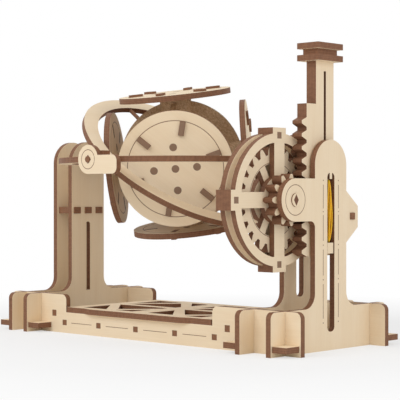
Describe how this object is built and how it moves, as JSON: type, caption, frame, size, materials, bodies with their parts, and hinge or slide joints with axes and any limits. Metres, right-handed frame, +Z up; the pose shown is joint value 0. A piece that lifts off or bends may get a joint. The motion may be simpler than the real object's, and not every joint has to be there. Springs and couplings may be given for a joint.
{
  "type": "wooden mechanical puzzle",
  "caption": "Laser-cut plywood answer-ball machine: a pressed rack turns a pinion and wheel that spin a gimballed six-faced ball on a long open base.",
  "frame": {"origin": "on the table, in the middle of the base's length and midway between the two rails", "axes": "+X along the base from the left column to the mast, +Y to the back, +Z up"},
  "size_m": [0.2014, 0.1306, 0.143],
  "materials": {
    "birch_face": "fine pale birch plywood with laser-cut brown edges",
    "burnt_edge": "laser-browned plywood edge",
    "band_rubber": "yellow rubber"
  },
  "bodies": {
    "stand": {"front_rail": "birch_face", "rear_rail": "birch_face", "base_lattice": "birch_face", "left_inner_plate": "birch_face", "left_outer_plate": "birch_face", "left_ties": "burnt_edge", "mast_inner_plate": "birch_face", "mast_outer_plate": "birch_face", "mast_ties": "burnt_edge", "foot_pads": "burnt_edge", "guard_rear": "birch_face", "guard_front": "birch_face", "guard_blocks": "birch_face", "rubber_band": "band_rubber"},
    "press": {"press_rack": "birch_face", "press_cap": "birch_face"},
    "wheel": {"pinion_axle": "burnt_edge", "pinion": "burnt_edge", "drive_wheel": "birch_face"},
    "hoop": {"gimbal_hoop": "birch_face", "hoop_pads": "birch_face", "hoop_axles": "burnt_edge", "hoop_pinion": "burnt_edge", "pivot_bosses": "birch_face"},
    "ring": {"gimbal_ring": "birch_face", "ring_pins": "burnt_edge"},
    "ball": {"ball_pins": "burnt_edge", "ball_ribs": "burnt_edge", "disc_1": "birch_face", "disc_2": "birch_face", "disc_3": "birch_face", "disc_4": "birch_face", "disc_5": "birch_face", "disc_6": "birch_face"}
  },
  "joints": [
    {"name": "hoop_spin", "type": "hinge", "parent": "stand", "child": "hoop", "pos_m": [-0.00475, 0, 0.0893], "axis": [1, 0, 0], "range_deg": [0, 447.4]},
    {"name": "wheel_spin", "type": "hinge", "parent": "stand", "child": "wheel", "pos_m": [0.08525, -0.0259, 0.07], "axis": [1, 0, 0], "range_deg": [-186.62, 0.2]},
    {"name": "press_slide", "type": "slide", "parent": "stand", "child": "press", "axis": [0, 0, 1], "range_m": [-0.0341, 0.0001], "deforming": ["rubber_band"]},
    {"name": "ring_spin", "type": "hinge", "parent": "hoop", "child": "ring", "pos_m": [-0.00475, 0, 0.0893], "axis": [0, 1, 0], "continuous": true},
    {"name": "ball_spin", "type": "hinge", "parent": "ring", "child": "ball", "pos_m": [-0.00475, 0, 0.0893], "axis": [0.809, 0, -0.5878], "continuous": true}
  ],
  "couplings": [
    {"joint": "wheel_spin", "follows": "hoop_spin", "ratio": -0.41667},
    {"joint": "press_slide", "follows": "hoop_spin", "m_per_rad": -0.0043542}
  ]
}
